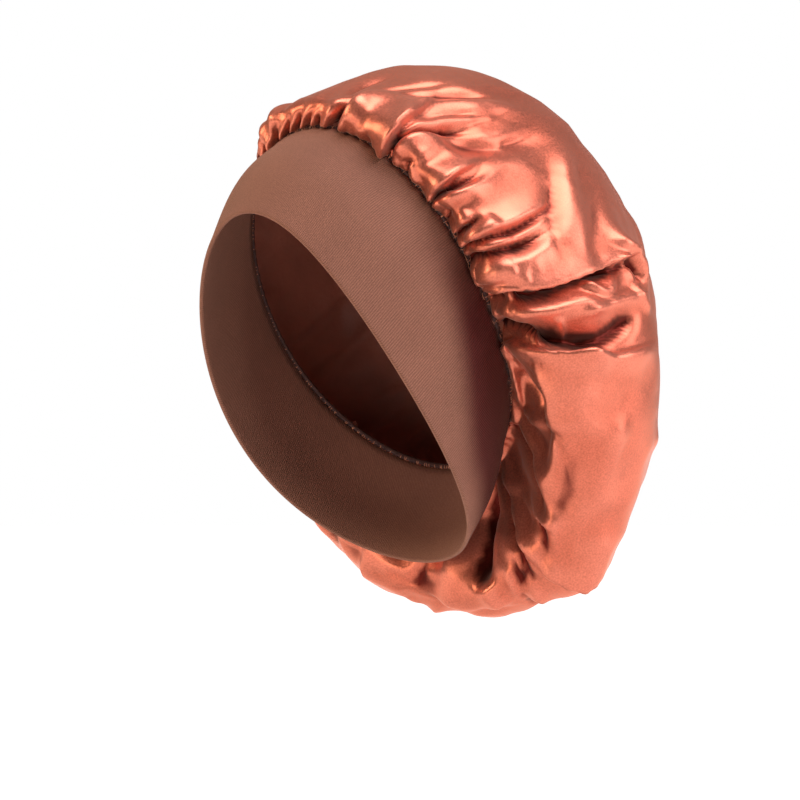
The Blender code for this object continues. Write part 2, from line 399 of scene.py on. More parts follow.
def knitMaterial(look):
    material, tree, shader = startMaterial("knit")
    scales = look["noise"]
    cloth = addNode(tree, "ShaderNodeUVMap", uv_map="cloth").outputs[0]
    place = addNode(tree, "ShaderNodeTexCoord").outputs["Object"]
    slant = addNode(tree, "ShaderNodeMapping")
    slant.inputs["Rotation"].default_value[2] = math.radians(look["slant"])
    tree.links.new(cloth, slant.inputs["Vector"])
    ribs = bands(tree, slant.outputs[0], look["wales"], 0.4)
    ribs.inputs["Detail"].default_value = 1.0
    rib = ribs.outputs["Fac"]
    shade = addNode(tree, "ShaderNodeAttribute", attribute_name="shade").outputs["Fac"]
    patch = noiseField(tree, place, scales["patches"], 3.0)
    fuzz = noiseField(tree, place, scales["fuzz"], 2.0)
    paler = tuple(min(1.0, look["paler"] * part) for part in look["colour"][:3]) + (1.0,)
    ground = mixColour(tree, reshape(tree, patch, 0.35, 0.65, 0.0, 0.6), look["colour"], paler)
    turned = mixColour(tree, shade, ground, look["shade"])
    ribbed = mixColour(tree, look["ribs"], turned, addGrey(tree, rib, 0.0, 1.0), "OVERLAY")
    speckled = mixColour(tree, look["fuzz"], ribbed, addGrey(tree, fuzz, 0.3, 0.7), "OVERLAY")
    tree.links.new(speckled, shader.inputs["Base Color"])
    setSurface(shader, look["surface"])
    ribBump = addBump(tree, rib, *look["ribBump"])
    tree.links.new(addBump(tree, fuzz, *look["fuzzBump"], ribBump), shader.inputs["Normal"])
    return material


threadLook = {
    "dark": (0.07, 0.022, 0.016, 1.0),
    "copper": (0.55, 0.20, 0.11, 1.0),
    "roughness": {"dark": 0.7, "copper": 0.45},
    "twist": 1800.0,                        # noise scale
    "bump": (0.5, 0.0002),
}


def threadMaterial(look, kind):
    material, tree, shader = startMaterial(kind + "_thread")
    place = addNode(tree, "ShaderNodeTexCoord").outputs["Object"]
    twist = noiseField(tree, place, look["twist"], 2.0)
    darker = tuple(0.5 * part for part in look[kind][:3]) + (1.0,)
    tree.links.new(mixColour(tree, twist, darker, look[kind]), shader.inputs["Base Color"])
    shader.inputs["Roughness"].default_value = look["roughness"][kind]
    tree.links.new(addBump(tree, twist, *look["bump"]), shader.inputs["Normal"])
    return material


satin = satinMaterial(satinLook)
satinBack = satinBackMaterial(satinBackLook)
knit = knitMaterial(knitLook)
darkThread = threadMaterial(threadLook, "dark")
copperThread = threadMaterial(threadLook, "copper")
print("finishes ready")


# The band

band = {
    "width": 0.074,
    "wall": 2.2 * mm,
    "columns": 288,
    "outerRows": 30,
    "foldRows": 7,
    "innerRows": 14,
    "seat": 1.8 * mm,
    "flat": (0.60, 0.15),                   # round the head and across, both layers
    "ridge": (0.915, 0.018, 0.5 * mm),      # the seam allowance under the knit: place, width, height
    "pucker": (0.86, 0.12, 0.45 * mm),      # small waves by the seam: start, reach, height
    "shade": {
        "sides": (50, 38),                  # degrees from the crown where it starts and how many to full
        "front": (70, 50),                  # the same for its reach towards the front edge
        "starts": 0.5,                      # along the band, nearer the crown
        "reach": 0.36,
        "bySeam": 0.35,
        "inside": 0.3,
    },
    # along, closing, brow back, brow up, nape back, nape up, side, bow, taper
    "sections": (
        (0.00, 0.00, -0.745, -0.605, -0.300, -0.670, -0.105, -0.115, -0.13),
        (0.50, 0.00, -0.435, -0.230, -0.075, -0.360, -0.025, -0.065, -0.08),
        (1.00, 0.00, 0.000, 0.000, 0.000, 0.000, 0.000, 0.000, -0.02),
    ),
}
bandSections = readSections(band["sections"], band["width"], band["width"], band["width"])


def bandShade(turn, along, outside):
    # the knit is darker towards the nape and beside the seam
    shade = band["shade"]
    fromCrown = np.where(turn > 180, 360 - turn, turn)
    sideFrom, sideReach = shade["sides"]
    frontFrom, frontReach = shade["front"]
    starts = shade["starts"] * (1 - smoothStep((fromCrown - frontFrom) / frontReach))
    amount = smoothStep((fromCrown - sideFrom) / sideReach) * smoothStep((along - starts) / shade["reach"])
    amount = amount + shade["bySeam"] * smoothStep((along - 0.9) / 0.1)
    return np.clip(amount * (1.0 if outside else shade["inside"]), 0, 1)


def makeBand():
    columns = band["columns"]
    turn = np.arange(columns) * 360.0 / columns
    seat = seamShare(bandSections, turn, 1.0, band["seat"])
    half = band["wall"] / 2
    ridgePlace, ridgeWidth, ridgeHeight = band["ridge"]
    puckerStart, puckerReach, puckerHeight = band["pucker"]
    rings = []
    shades = []

    def addRow(along, side):
        point = clothPoint(bandSections, turn, along)
        outward = clothNormal(bandSections, turn, along)
        lift = np.full(columns, half)
        if side > 0:
            lift += ridgeHeight * np.exp(-(((along - ridgePlace) / ridgeWidth) ** 2))
            near = smoothStep((along - puckerStart) / puckerReach)
            lift += puckerHeight * near * unevenWaves(turn, 74, 50, 5)
        rings.append(point + side * lift[:, None] * outward)
        shades.append(bandShade(turn, along, side > 0))

    for i in range(band["outerRows"] + 1):
        addRow((1.0 - seat) * (1.0 - i / band["outerRows"]), 1)
    edge = clothPoint(bandSections, turn, np.zeros(columns))
    outward = clothNormal(bandSections, turn, np.zeros(columns))
    beyond = unit(edge - clothPoint(bandSections, turn, np.full(columns, 0.01)))
    for i in range(1, band["foldRows"]):
        angle = math.pi * i / band["foldRows"]
        rings.append(edge + half * (math.cos(angle) * outward + math.sin(angle) * beyond))
        shades.append(np.zeros(columns))
    for i in range(band["innerRows"] + 1):
        addRow((1.0 - seat) * i / band["innerRows"], -1)
    grid = np.array(rings)[::-1]
    mesh = ringMesh("knit_band", grid, closed=True)
    paintRings(mesh, "shade", np.array(shades)[::-1])
    layCloth(mesh, columns, len(grid), *band["flat"], closedRows=True)
    return addPiece("knit_band", mesh, [knit])


knitBand = makeBand()
print("band shaped")


# The bag

bag = {
    "reach": 0.205,
    "height": 0.285,
    "width": 0.235,
    "columns": 440,
    "rows": 110,
    "crowding": 1.35,                       # rows lie closer near the seam
    "closer": (40.0, 25.0),                 # columns lie closer round this turn, by this much
    "wall": 0.0006,
    "seat": 0.0018,                         # clear of the seam's middle
    "gatherHeight": 4.0 * mm,
    "slack": 1.2 * mm,                      # slow waves over the whole cloth
    "foldShares": (0.35, 0.65),             # of the folds before and after the cloth settles
    "smoothing": 0.5,                       # evens out the last single bumps
    "clearOfBand": 1.0 * mm,
    "nearBand": 12.0 * mm,
    "rowsByBand": 45,
    "flat": (0.62, 0.27),                   # round the opening and on to the tip
    "guessed": (165.0, 350.0, 20.0),        # turns that the photo doesn't show, and their soft ends
    "crimp": (0.5 * mm, 0.05, 95, 60, 7),   # height, end, waves round the opening, their sway
    "fan": (0.65, 0.55),                    # folds widen from the seam on
    # along, closing, brow back, brow up, nape back, nape up, side, bow, taper
    "sections": (
        (0.00, 0.00, 0.000, 0.000, 0.000, 0.000, 0.000, 0.000, -0.02),
        (0.03, 0.00, -0.015, 0.020, 0.035, -0.015, 0.030, 0.000, -0.04),
        (0.08, 0.00, -0.015, 0.045, 0.045, -0.085, 0.070, -0.005, -0.07),
        (0.18, 0.00, 0.130, 0.085, -0.010, -0.210, 0.125, 0.005, -0.10),
        (0.34, 0.10, 0.340, 0.165, 0.090, -0.300, 0.210, 0.030, -0.12),
        (0.52, 0.30, 0.570, 0.240, 0.285, -0.355, 0.275, 0.030, -0.12),
        (0.70, 0.55, 0.755, 0.245, 0.490, -0.340, 0.280, 0.020, -0.10),
        (0.86, 0.80, 0.860, 0.170, 0.680, -0.255, 0.235, 0.010, -0.06),
        (0.95, 0.93, 0.880, 0.065, 0.790, -0.130, 0.135, 0.005, 0.00),
        (1.00, 1.00, 0.860, -0.030, 0.860, -0.030, 0.000, 0.000, 0.00),
    ),
    # size, height in millimetres, start, whether sharp, seed
    "streaks": (
        (0.036, 1.5, 0.08, False, 21),
        (0.024, 0.8, 0.12, True, 22),
    ),
    "streakFan": (0.11, 0.6, 0.05),         # radius, its share at the seam, stretch along the streak
    "shownGathers": 0.35,                   # how much of the gathers stays where the photo's folds are
    # count, height, start, peak, end, wander
    "gathers": (
        (36, 0.55, 0.00, 0.05, 0.22, 1.5),
        (13, 0.90, 0.02, 0.18, 0.60, 6.0),
        (7, 0.80, 0.10, 0.35, 0.80, 9.0),
    ),
}
bagSections = readSections(bag["sections"], bag["reach"], bag["height"], bag["width"])

# how each kind of fold comes up and dies away along its path, and its cross section
foldKinds = {
    "swell": (0.30, 0.45, "round"),
    "pleat": (0.00, 0.55, "ridge"),
    "groove": (0.00, 0.50, "vee"),
    "ledge": (0.00, 0.22, "ridge"),
    "fold": (0.25, 0.35, "ridge"),
    "crease": (0.25, 0.35, "vee"),
    "dent": (0.35, 0.35, "round"),
}
crossSections = {
    "ridge": lambda q: np.exp(-(q ** 1.5)),
    "vee": lambda q: np.clip(1.0 - q / 2.0, 0.0, 1.0) ** 2,
    "round": lambda q: np.exp(-(q ** 2)),
}

# kind, then turn and along where the fold starts, half way and where it ends, then millimetres:
# height, width on its crown side, width on its nape side, and any lean towards the nape
leftFolds = (
    ("groove", (-50, 0.002), (-46, 0.03), (-43, 0.07), -3, 3.5, 3.5),
    ("pleat", (-45, 0.004), (-42, 0.03), (-39, 0.06), 2.2, 2.5, 2.5),
    ("groove", (-41, 0.002), (-39, 0.03), (-35, 0.06), -3.5, 2.4, 2.4),
    ("pleat", (-38, 0.004), (-34, 0.022), (-30, 0.05), 2.5, 2.4, 2.4),
    ("groove", (-34, 0.002), (-31, 0.018), (-27, 0.04), -4, 2, 2.2),
    ("pleat", (-29, 0.002), (-26, 0.022), (-21, 0.05), 2.8, 2.4, 2.2),
    ("groove", (-24, 0.002), (-21, 0.022), (-16, 0.06), -4, 2.2, 2.2),
    ("pleat", (-20, 0.002), (-17, 0.02), (-12, 0.045), 2.6, 2, 2),
    ("groove", (-17, 0.002), (-14, 0.022), (-10, 0.055), -3.5, 1.8, 2),
    ("pleat", (-14, 0.002), (-11, 0.022), (-7, 0.045), 2.4, 1.8, 1.8),
    ("groove", (-11, 0.002), (-8, 0.022), (-3, 0.07), -3.8, 1.8, 2.2),
    ("pleat", (-8, 0.002), (-4, 0.03), (2, 0.08), 2.8, 2.2, 2),
    ("groove", (-5, 0.002), (-1, 0.03), (4, 0.08), -3.5, 1.8, 2),
    ("pleat", (-2, 0.003), (1, 0.037), (5, 0.065), 3, 2, 1.8),
    ("groove", (1, 0.002), (2, 0.022), (4, 0.045), -3, 1.4, 1.5),
    ("pleat", (4, 0.002), (8, 0.04), (10, 0.11), 4, 4, 1.8, 0.8),
    ("groove", (7, 0.002), (12, 0.055), (13, 0.14), -6, 2, 4.5),
    ("pleat", (12, 0.004), (16, 0.09), (15, 0.2), 4, 2, 6),
    ("swell", (21, -0.02), (21, 0.07), (20, 0.22), 3, 13, 13),
    ("dent", (23, 0.03), (22, 0.085), (20, 0.15), -1.8, 5, 6),
    ("fold", (22, 0.155), (27, 0.135), (31, 0.085), 1.6, 3, 3),
    ("crease", (12, 0.16), (18, 0.228), (22, 0.31), -2, 2.5, 4.5),
    ("crease", (12, 0.1), (6, 0.18), (8, 0.25), -2.4, 3.5, 2.5),
    ("crease", (19, 0.16), (25, 0.265), (31, 0.37), -3, 3, 6),
    ("fold", (26, 0.13), (30, 0.26), (36, 0.44), 3, 5, 6),
    ("groove", (26, 0.002), (26, 0.018), (24, 0.04), -3, 1.8, 1.8),
    ("pleat", (32, 0.003), (30, 0.13), (21, 0.27), 7.5, 10, 1.7, 2.2),
    ("groove", (34, 0.002), (33, 0.085), (29, 0.19), -5.5, 1.5, 3),
    ("pleat", (35, 0.004), (32, 0.16), (35, 0.4), 4.5, 5, 4, 0.6),
    ("crease", (33, 0.13), (32, 0.205), (35, 0.29), -2.6, 3, 3),
    ("fold", (35, 0.06), (34, 0.177), (37, 0.33), 2.6, 2.2, 1.8, 0.9),
    ("groove", (36, 0.002), (35, 0.14), (40, 0.26), -7.5, 1.5, 3.5),
    ("dent", (36, 0.13), (44, 0.265), (41, 0.46), -4, 5, 9),
    ("pleat", (37, 0.006), (37, 0.115), (41, 0.22), 4.5, 1.8, 7, -0.8),
    ("swell", (46, -0.02), (45, 0.07), (44, 0.2), 3, 10, 8),
    ("dent", (46, 0.05), (45, 0.1), (43, 0.16), -1.6, 4, 4),
    ("groove", (43, 0.002), (42, 0.03), (42, 0.07), -3.8, 1.8, 1.8),
    ("fold", (43, 0.06), (45, 0.025), (50, 0.01), 2, 2, 2),
    ("pleat", (53, 0.004), (49, 0.135), (44, 0.24), 6, 6, 1.6, 1.6),
    ("crease", (54, 0.07), (52, 0.11), (49, 0.145), -2.2, 1.2, 1.2),
    ("groove", (54, 0.002), (53, 0.115), (48, 0.21), -5, 1.5, 1.8),
    ("pleat", (55, 0.003), (55, 0.11), (49, 0.25), 5, 1.8, 7),
    ("dent", (60, 0.04), (59, 0.09), (57, 0.15), -1.4, 3.5, 4),
    ("groove", (61, 0.002), (60, 0.03), (58, 0.06), -3, 1.6, 1.6),
    ("pleat", (65, 0.003), (63, 0.06), (61, 0.1), 3.4, 2.4, 1.5, 0.6),
    ("groove", (66, 0.002), (64, 0.08), (61, 0.12), -6, 1.5, 2.2),
    ("fold", (67, 0.04), (64, 0.105), (61, 0.15), 3.6, 1.8, 5),
    ("pleat", (69, 0.004), (63, 0.19), (59, 0.33), 5, 6.5, 1.7, 1.2),
    ("groove", (70, 0.003), (65, 0.19), (60, 0.31), -5, 1.4, 2),
    ("pleat", (71, 0.006), (67, 0.173), (61, 0.33), 3.8, 1.8, 1.7, 0.6),
    ("groove", (73, 0.003), (69, 0.158), (65, 0.28), -6, 1.5, 4),
    ("pleat", (76, 0.006), (71, 0.185), (63, 0.34), 4.5, 4, 8),
    ("crease", (54, 0.35), (64, 0.278), (74, 0.26), -2.2, 4, 4),
    ("swell", (44, 0.47), (60, 0.35), (72, 0.3), 3.6, 9, 9),
    ("dent", (52, 0.52), (68, 0.37), (75, 0.335), -2, 6, 6),
    ("dent", (73, 0.3), (69, 0.445), (60, 0.64), -2, 9, 9),
    ("groove", (80, 0.003), (77, 0.095), (78, 0.15), -4.5, 2.5, 2.5),
    ("pleat", (78, 0.01), (76, 0.11), (76, 0.18), 2.5, 2.5, 2.5),
    ("ledge", (80, 0.01), (76, 0.255), (70, 0.55), 8, 18, 2, 4.5),
    ("fold", (69, 0.4), (72, 0.49), (81, 0.56), 6, 14, 3),
    ("groove", (83, 0.004), (81, 0.11), (78, 0.27), -11, 1.8, 4),
    ("crease", (79, 0.15), (77, 0.29), (74, 0.5), -9, 1.6, 2.6),
    ("groove", (87, 0.004), (85, 0.08), (82, 0.16), -3, 1.8, 2),
    ("fold", (75, 0.285), (80, 0.352), (75, 0.415), 6, 1.6, 3),
    ("fold", (77, 0.385), (73, 0.44), (80, 0.485), 6, 1.8, 2),
    ("fold", (77, 0.46), (82, 0.485), (84, 0.53), 4, 2, 2.4),
    ("dent", (77, 0.29), (76, 0.35), (74, 0.41), -7, 2.2, 2.2),
    ("dent", (72, 0.44), (75, 0.48), (76, 0.53), -7, 2.6, 3),
    ("ledge", (90, 0.004), (83, 0.19), (82, 0.36), 7, 3, 7, 1),
    ("fold", (85, 0.24), (82, 0.37), (80, 0.54), 5, 1.8, 5, 0.6),
    ("groove", (98, 0.004), (91, 0.16), (91, 0.34), -17, 6.5, 1.8),
    ("crease", (91, 0.22), (89, 0.34), (83, 0.47), -9, 7, 4.5),
    ("fold", (94, 0.06), (92, 0.11), (92, 0.16), 3, 1.6, 1.8),
    ("fold", (85, 0.195), (87, 0.217), (91, 0.235), 3.5, 1.3, 1.3),
    ("ledge", (103, 0.004), (95, 0.145), (94, 0.33), 9, 1.7, 16, -4.5),
    ("fold", (92.5, 0.18), (93.6, 0.343), (90, 0.56), 8, 1.8, 14, -4),
    ("dent", (102, 0.32), (99, 0.41), (94, 0.5), -1.4, 9, 12),
    ("dent", (110, 0.02), (112, 0.075), (114, 0.125), -12, 4.6, 4.6),
    ("fold", (106, 0.018), (118, 0.016), (127, 0.036), 3, 2.2, 1.8),
    ("fold", (126, 0.03), (121, 0.065), (116, 0.115), 4.5, 2, 4),
    ("fold", (101, 0.08), (105, 0.148), (114, 0.13), 4.5, 4, 2),
    ("swell", (97, 0.163), (107, 0.242), (108, 0.42), 3.5, 8, 9),
    ("fold", (124, 0.043), (112, 0.14), (109, 0.24), 2.8, 3, 4.5),
    ("swell", (100, 0.2), (102, 0.27), (103, 0.34), 2.4, 7, 7),
    ("swell", (132, 0.21), (126, 0.325), (120, 0.5), 2.6, 9, 9),
    ("swell", (112, 0.155), (124, 0.145), (138, 0.15), 2.6, 6, 6),
    ("dent", (110, 0.235), (122, 0.225), (136, 0.215), -1.4, 6, 8),
    ("swell", (104, 0.38), (116, 0.33), (132, 0.3), 2.4, 7, 9),
    ("dent", (112, 0.46), (122, 0.4), (136, 0.37), -1.3, 7, 9),
    ("fold", (129, 0.09), (133, 0.165), (144, 0.26), 3, 3, 3),
    ("crease", (151, 0.07), (141, 0.15), (146, 0.26), -4, 2.2, 2.4),
    ("groove", (137, 0.004), (134, 0.08), (136, 0.16), -7, 2.4, 3),
    ("pleat", (131, 0.006), (129, 0.115), (131, 0.2), 4.5, 6, 2.6),
    ("fold", (151, 0.05), (141, 0.143), (131, 0.25), 4.5, 4, 2, 0.8),
    ("pleat", (151, 0.02), (148, 0.16), (145, 0.31), 7, 3.5, 2.2, 1.4),
    ("fold", (146, 0.223), (146, 0.335), (142, 0.48), 7, 9, 2.2, 2.2),
    ("groove", (156, 0.01), (152, 0.193), (153, 0.31), -8, 2.4, 3.2),
    ("fold", (157, 0.12), (158, 0.24), (161, 0.44), 5, 3.5, 2.2, 0.8),
    ("fold", (152, 0.25), (156, 0.34), (156, 0.44), 4, 3, 2.6),
    ("crease", (157, 0.23), (159, 0.352), (159, 0.48), -5, 2.4, 3),
    ("dent", (158, 0.12), (156, 0.21), (156, 0.31), -6, 4, 4),
    ("dent", (161, 0.04), (167, 0.125), (167, 0.215), -10, 6, 6),
    ("fold", (167, 0.19), (166, 0.26), (167, 0.35), 5, 8, 8),
    ("swell", (126, 0.3), (144, 0.4), (160, 0.46), 8, 22, 20),
    ("dent", (-66, 0.075), (-48, 0.075), (-28, 0.08), -9, 15, 15),
    ("swell", (-95, 0.02), (-72, 0.025), (-52, 0.03), 6, 7, 7),
)
backFolds = (
    ("pleat", (176, 0.02), (180, 0.2), (182, 0.4), 4.5, 8, 7),
    ("groove", (190, 0.01), (188, 0.12), (192, 0.26), -4, 4, 4),
    ("pleat", (203, 0.02), (206, 0.2), (206, 0.42), 5, 7, 3.5, 1),
    ("groove", (222, 0.01), (219, 0.18), (214, 0.46), -4.5, 4, 6),
    ("pleat", (240, 0.01), (246, 0.24), (247, 0.48), 6.5, 4, 12, -1.5),
    ("groove", (251, 0.01), (255, 0.16), (254, 0.33), -5, 4, 4),
    ("groove", (262, 0.01), (264, 0.22), (268, 0.52), -4.5, 4, 6),
    ("pleat", (274, 0.01), (281, 0.22), (284, 0.5), 7, 3, 13, -2),
    ("groove", (270, 0.01), (275, 0.18), (280, 0.36), -4.5, 3.5, 3.5),
    ("pleat", (297, 0.005), (296, 0.16), (291, 0.36), 3, 9, 4, 1),
    ("groove", (305, 0.005), (306, 0.13), (302, 0.26), -4, 3, 3.5),
    ("pleat", (316, 0.06), (322, 0.16), (322, 0.34), 2, 8, 3.5, 0.6),
    ("groove", (329, 0.005), (331, 0.12), (334, 0.24), -3.5, 3, 3.5),
    ("pleat", (341, 0.06), (340, 0.13), (337, 0.28), 2, 7, 6),
    ("fold", (140, 0.78), (178, 0.74), (215, 0.74), -4.5, 18, 20),
    ("fold", (300, 0.52), (285, 0.6), (262, 0.64), 3, 9, 7),
    ("fold", (30, 0.56), (10, 0.6), (345, 0.56), -2.5, 10, 10),
    ("fold", (110, 0.56), (118, 0.64), (135, 0.7), 2.5, 9, 8),
    ("fold", (185, 0.3), (196, 0.55), (215, 0.8), 4, 8, 4.5, 1),
    ("dent", (196, 0.3), (207, 0.52), (228, 0.76), -3.5, 5, 8),
    ("fold", (232, 0.35), (238, 0.58), (262, 0.84), 4.5, 5, 9, -1),
    ("dent", (223, 0.4), (229, 0.62), (248, 0.86), -3.5, 5, 4.5),
    ("fold", (262, 0.48), (270, 0.66), (300, 0.86), 4, 8, 5, 0.8),
    ("crease", (270, 0.34), (278, 0.55), (302, 0.78), -4, 4.5, 7),
    ("fold", (298, 0.38), (304, 0.58), (330, 0.8), 3.5, 9, 6),
    ("dent", (312, 0.34), (320, 0.56), (345, 0.76), -3, 7, 9),
    ("fold", (340, 0.48), (350, 0.65), (372, 0.8), 3, 8, 8),
    ("dent", (22, 0.56), (14, 0.7), (-2, 0.86), -2.5, 8, 8),
    ("fold", (150, 0.56), (162, 0.7), (188, 0.88), 4, 8, 5, 0.8),
    ("dent", (128, 0.6), (141, 0.74), (166, 0.88), -3, 6, 7),
    ("fold", (56, 0.64), (72, 0.78), (104, 0.9), 3.5, 8, 7),
    ("dent", (84, 0.62), (98, 0.73), (124, 0.85), -3, 6, 9),
)


hiddenPleats = {
    "seed": 5,
    "turns": (172.0, 316.0),
    "start": 0.003,                         # along
    "length": (0.05, 0.17),                 # shortest and longest, along
    "drift": (-4.0, 4.0),                   # degrees round the opening
    "height": (2.0, 3.6),                   # millimetres
    "width": (2.2, 4.0),
    "grooveWidth": (2.0, 2.2),
    "toGroove": (3.0, 4.5),                 # degrees
    "toPleat": (3.0, 5.5),
}


def drawPleats(sizes):
    # short pleats from the seam where the photographed side ends
    draw = np.random.default_rng(sizes["seed"])
    rows = []
    turn, last = sizes["turns"]
    begin = sizes["start"]
    while turn < last:
        length = draw.uniform(*sizes["length"])
        drift = draw.uniform(*sizes["drift"])
        height = draw.uniform(*sizes["height"])
        widths = [draw.uniform(*sizes["width"]) for side in range(2)]
        middle = (turn + 0.6 * drift, 0.5 * length)
        rows.append(("pleat", (turn, begin), middle, (turn + drift, length), height, *widths))
        turn += draw.uniform(*sizes["toGroove"])
        middle = (turn + 0.5 * drift, 0.4 * length)
        end = (turn + drift, 0.8 * length)
        rows.append(("groove", (turn, begin), middle, end, -height, *sizes["grooveWidth"]))
        turn += draw.uniform(*sizes["toPleat"])
    return rows


def foldOffsets(sections, points, normals, along, rows):
    offsets = np.zeros_like(points)
    fanStart, fanGain = bag["fan"]
    steps = 12
    for kind, start, middle, end, height, crownSide, napeSide, *lean in rows:
        lean = lean[0] if lean else 0.0
        rise, fall, crossSection = foldKinds[kind]
        share = np.linspace(0.0, 1.0, steps + 1)
        firstPart = 2 * share * share - 3 * share + 1
        middlePart = 4 * share - 4 * share * share
        lastPart = 2 * share * share - share
        turns = start[0] * firstPart + middle[0] * middlePart + end[0] * lastPart
        places = np.clip(start[1] * firstPart + middle[1] * middlePart + end[1] * lastPart, 0.0, 1.0)
        path = clothPoint(sections, turns, places)
        outward = clothNormal(sections, turns, np.clip(places, 0.002, 0.998))
        margin = 3.2 * max(crownSide, napeSide) * mm
        near = np.all((points > path.min(0) - margin) & (points < path.max(0) + margin), axis=-1)
        spots = points[near]
        nearest = np.full(len(spots), np.inf)
        travelled = np.zeros(len(spots))
        sideways = np.zeros(len(spots))
        sideVector = np.zeros_like(spots)
        for k in range(steps):
            step = path[k + 1] - path[k]
            part = np.clip((spots - path[k]) @ step / (step @ step), 0.0, 1.0)
            gap = spots - path[k] - part[:, None] * step
            distance = np.linalg.norm(gap, axis=-1)
            toNape = unit(np.cross(step, outward[k] + outward[k + 1]))
            closer = distance < nearest
            nearest[closer] = distance[closer]
            travelled[closer] = (k + part[closer]) / steps
            sideways[closer] = (gap @ toNape)[closer]
            sideVector[closer] = toNape
        width = np.where(sideways > 0, napeSide, crownSide) * mm * (fanStart + fanGain * travelled)
        level = crossSections[crossSection](nearest / width)
        if rise > 0:
            level *= smoothStep(travelled / rise)
        level *= smoothStep((1.0 - travelled) / fall)
        offsets[near] += (height * mm * level)[:, None] * normals[near]
        offsets[near] += (lean * mm * level)[:, None] * sideVector
    return offsets * smoothStep(along / 0.012)[..., None]


def gatherLift(turn, along, hidden):
    dip = smoothStep((along - 0.08) / 0.17)
    lift = np.zeros_like(along)
    for count, height, start, peak, end, drift in bag["gathers"]:
        shift = drift * np.sin(np.radians(3 * turn + 50 * height))
        wave = 0.5 + 0.5 * np.cos(np.radians(count * (turn + shift)))
        rise = smoothStep((along - start) / (peak - start))
        fall = smoothStep((end - along) / (end - peak))
        lift += bag["gatherHeight"] * height * (wave - 0.5 * dip) * rise * fall
    shown = bag["shownGathers"]
    return lift * (shown + (1 - shown) * hidden)


def streaks(turn, along):
    # long soft wrinkles that run from the seam towards the tip
    angle = np.radians(turn)
    radius, atSeam, stretch = bag["streakFan"]
    reach = radius * (atSeam + along)
    spots = np.stack([reach * np.cos(angle), reach * np.sin(angle), stretch * along], axis=-1)
    lift = np.zeros_like(along)
    for size, height, start, sharp, seed in bag["streaks"]:
        found = wander(spots, size, seed)
        if sharp:
            found = 0.35 - 2.0 * np.abs(found)
        lift += height * mm * found * smoothStep((along - start) / 0.10) * smoothStep((0.95 - along) / 0.3)
    return lift


settle = {
    "step": 2,                              # every other column and row takes part
    "grow": 0.07,                           # how much more cloth there is than room
    "frames": 14,
    "quality": 6,
    "mass": 0.3,
    "pressure": 0.2,
    "gravity": 0.03,
    "stiffness": 12.0,
    "bending": 0.15,
    "sewnRows": (1.0, 0.7, 0.35, 0.15),     # how firmly the first rows are held
    "mostMove": 9.0 * mm,
    "broadPasses": 200,                     # the broad movement is what is left after these
    "share": 0.65,                          # how much of the finer movement is kept
    "calm": (0.3, 0.30),                    # what is left of it at the seam, and where all of it is back
}


def throughPoints(a, b, c, d, t):
    # the point at t between b and c on a smooth curve
    square = (2 * a - 5 * b + 4 * c - d) * t * t
    cube = (3 * b - a - 3 * c + d) * t ** 3
    return 0.5 * (2 * b + (c - a) * t + square + cube)


def upsampled(grid, factor):
    # smooth in-between points, by a curve through the neighbours, round the rings and along the rows
    before, ahead, beyond = (np.roll(grid, n, axis=1) for n in (1, -1, -2))
    wide = np.empty((grid.shape[0], grid.shape[1] * factor, 3))
    for k in range(factor):
        t = k / factor
        wide[:, k::factor] = throughPoints(before, grid, ahead, beyond, t)
    padded = np.concatenate([2 * wide[:1] - wide[1:2], wide, 2 * wide[-1:] - wide[-2:-1]])
    rows = (len(wide) - 1) * factor + 1
    tall = np.empty((rows, wide.shape[1], 3))
    for k in range(factor):
        t = k / factor
        count = len(wide) - 1
        tall[k:rows - 1:factor] = throughPoints(
            padded[:count], padded[1:count + 1], padded[2:count + 2], padded[3:count + 3], t)
    tall[-1] = wide[-1]
    return tall


def settleCloth(grid, tip):
    # the gathered satin has more cloth than room, so it buckles and hangs by itself
    piece = addPiece("settling", ringMesh("settling", grid, tip), [])
    columns = grid.shape[1]
    group = piece.vertex_groups.new(name="sewn")
    for row, weight in enumerate(settle["sewnRows"]):
        group.add(list(range(row * columns, (row + 1) * columns)), weight, "REPLACE")
    cloth = piece.modifiers.new("cloth", "CLOTH")
    rules = cloth.settings
    rules.quality = settle["quality"]
    rules.mass = settle["mass"]
    rules.tension_stiffness = settle["stiffness"]
    rules.compression_stiffness = settle["stiffness"]
    rules.shear_stiffness = settle["stiffness"] / 3
    rules.bending_stiffness = settle["bending"]
    rules.vertex_group_mass = "sewn"
    rules.shrink_min = -settle["grow"]
    rules.use_pressure = True
    rules.uniform_pressure_force = settle["pressure"]
    rules.effector_weights.gravity = settle["gravity"]
    cloth.point_cache.frame_start = 1
    cloth.point_cache.frame_end = settle["frames"]
    cloth.collision_settings.use_collision = False
    scene = bpy.context.scene
    for frameNumber in range(1, settle["frames"] + 1):
        scene.frame_set(frameNumber)
    shaped = piece.evaluated_get(bpy.context.evaluated_depsgraph_get())
    found = np.empty(len(shaped.data.vertices) * 3)
    shaped.data.vertices.foreach_get("co", found)
    bpy.data.objects.remove(piece)
    scene.frame_set(1)
    moved = found[:grid.size].reshape(grid.shape) - grid
    length = np.linalg.norm(moved, axis=-1, keepdims=True)
    print("cloth moved mm, mean and most", round(length.mean() / mm, 2), round(length.max() / mm, 2))
    return grid + moved * np.minimum(1.0, settle["mostMove"] / np.maximum(length, 1e-9))


